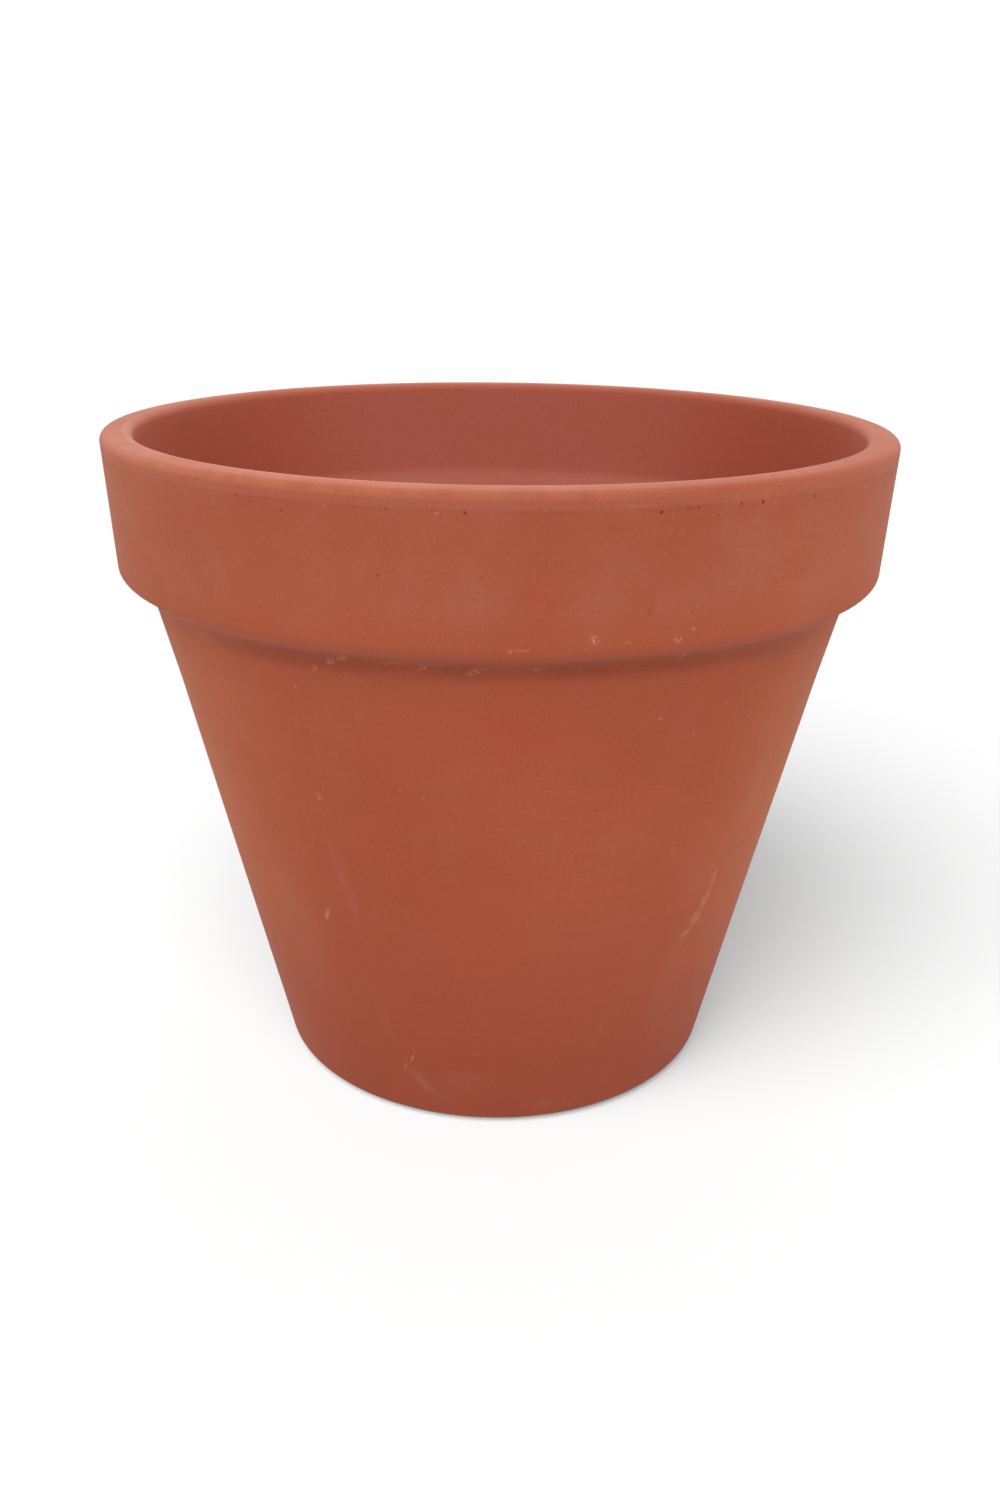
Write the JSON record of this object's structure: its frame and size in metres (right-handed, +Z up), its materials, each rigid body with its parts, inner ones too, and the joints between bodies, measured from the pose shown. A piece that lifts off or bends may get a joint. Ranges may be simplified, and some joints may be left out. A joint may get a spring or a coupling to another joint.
{
  "type": "terracotta plant pot",
  "caption": "Round tapered clay pot with a deep collar, rounded lip, inner ledge, flat floor and a central drain hole.",
  "frame": {"origin": "centre of the circle the foot stands on, at the bottom of the pot", "axes": "+Z up along the pot's axis, from the foot to the lip; X and Y are level and interchangeable"},
  "size_m": [0.2032, 0.2032, 0.175],
  "materials": {
    "terracotta": "matt unglazed fired clay, fine grain, roughness about 0.9"
  },
  "bodies": {
    "root": {"pot": "terracotta"}
  },
  "joints": []
}
